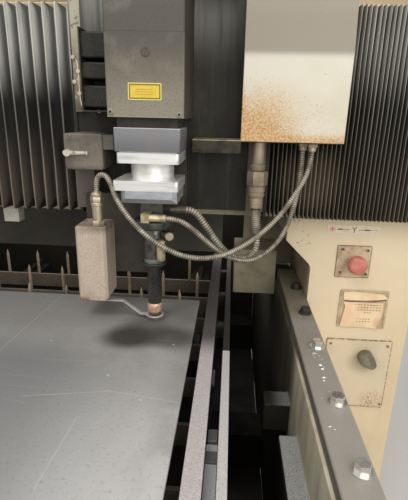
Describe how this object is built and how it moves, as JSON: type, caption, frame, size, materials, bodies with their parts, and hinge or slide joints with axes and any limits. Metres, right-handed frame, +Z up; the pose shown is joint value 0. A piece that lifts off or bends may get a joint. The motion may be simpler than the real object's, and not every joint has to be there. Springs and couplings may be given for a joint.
{
  "type": "laser cutting machine",
  "caption": "Gantry laser cutter: moving table with pin bars and sheet, fixed bridge with bellows, cutting head with lens stack, torch, height sensor, hoses and junction box.",
  "frame": {"origin": "on the floor, at the centre of the four anchor bolt holes, straight below the line that the torch follows along the bridge", "axes": "+X along the bridge to the side with the emergency stop, +Y along the table travel away from the operator, +Z up"},
  "size_m": [2.48, 2.6, 1.75],
  "materials": {
    "cream_paint": "worn satin paint with rust specks",
    "dark_steel": "dark oily steel",
    "grey_paint": "taupe grey satin paint",
    "black_paint": "black satin paint",
    "ground_steel": "ground guide steel",
    "bar_steel": "dull steel bar",
    "sheet_steel": "hot rolled sheet, scratched",
    "rusty_steel": "rusty steel with spatter",
    "bellows_cloth": "dusty coated cloth",
    "lens_aluminium": "machined aluminium",
    "copper": "copper nozzle",
    "brass": "tarnished brass",
    "hose_metal": "interlocked metal hose",
    "red_plastic": "red mushroom head",
    "black_plastic": "black plastic",
    "black_rubber": "black rubber curtain",
    "sensor_paint": "grey paint with pinkish rust"
  },
  "bodies": {
    "frame": {"bed_walls": "cream_paint", "bed_pan": "cream_paint", "bed_base": "dark_steel", "table_rails": "ground_steel", "bed_feet": "dark_steel", "slag_tray": "rusty_steel", "guide_bars": "bar_steel", "bar_bolts": "ground_steel", "portal_leg_right": "cream_paint", "portal_leg_left": "cream_paint", "cross_beam": "cream_paint", "limit_bracket": "cream_paint", "beam_duct": "grey_paint", "bridge_rails": "ground_steel", "rear_curtain": "black_rubber", "bellows_left": "bellows_cloth", "bellows_right": "bellows_cloth", "bellows_end_plates": "dark_steel", "stop_plate": "bar_steel", "switch_panel": "cream_paint"},
    "stop_head": {"stop_button": "red_plastic"},
    "knob": {"rotary_knob": "black_plastic"},
    "table": {"table_frame": "rusty_steel", "pin_bars": "rusty_steel", "support_pins": "rusty_steel", "work_sheet": "sheet_steel", "side_strips": "bar_steel", "table_blocks": "ground_steel"},
    "carriage": {"carriage_plate": "black_paint", "guide_blocks": "ground_steel", "carriage_strips": "cream_paint", "cast_block": "rusty_steel", "valve_tray": "grey_paint", "valve_blocks": "black_plastic", "head_cover": "grey_paint", "mirror_housing": "grey_paint", "drive_motors": "black_paint", "junction_box": "cream_paint", "junction_box_lid": "cream_paint", "box_shelf": "rusty_steel", "box_glands": "brass", "lift_rails": "ground_steel"},
    "lift": {"slide_plate": "black_paint", "lens_block": "lens_aluminium", "head_sleeve": "black_paint", "lens_holder": "lens_aluminium", "lower_block": "lens_aluminium", "torch_cap": "grey_paint", "torch_barrel": "black_paint", "torch_tube": "black_paint", "nozzle": "copper", "torch_fittings": "brass", "sensor_bracket": "black_paint", "sensor_box": "sensor_paint", "sensor_gland": "brass", "sensor_hose": "hose_metal", "signal_hose": "hose_metal", "gas_hose": "hose_metal"},
    "clamp_screw": {"thumb_screw": "ground_steel"},
    "finger": {"sensor_finger": "ground_steel"}
  },
  "joints": [
    {"name": "table_travel", "type": "slide", "parent": "frame", "child": "table", "axis": [0, 1, 0], "range_m": [-0.11, 0.76]},
    {"name": "head_travel", "type": "slide", "parent": "frame", "child": "carriage", "axis": [1, 0, 0], "range_m": [-0.9, 0.09], "deforming": ["bellows_left", "bellows_right"]},
    {"name": "lift_travel", "type": "slide", "parent": "carriage", "child": "lift", "axis": [0, 0, 1], "range_m": [-0.004, 0.05], "deforming": ["sensor_hose", "signal_hose", "gas_hose"]},
    {"name": "finger_tilt", "type": "hinge", "parent": "lift", "child": "finger", "pos_m": [0.252, 0, 0.94], "axis": [0, 1, 0], "range_deg": [-2.2, 1], "stiffness_Nm_per_rad": 8},
    {"name": "clamp_screw_turn", "type": "hinge", "parent": "lift", "child": "clamp_screw", "pos_m": [0.4435, -0.018, 1.097], "axis": [0, 1, 0], "continuous": true},
    {"name": "stop_press", "type": "slide", "parent": "frame", "child": "stop_head", "axis": [0, 1, 0], "range_m": [0, 0.005]},
    {"name": "knob_turn", "type": "hinge", "parent": "frame", "child": "knob", "pos_m": [0.933, 0.147, 0.746], "axis": [0, 1, 0], "range_deg": [0, 90]}
  ]
}
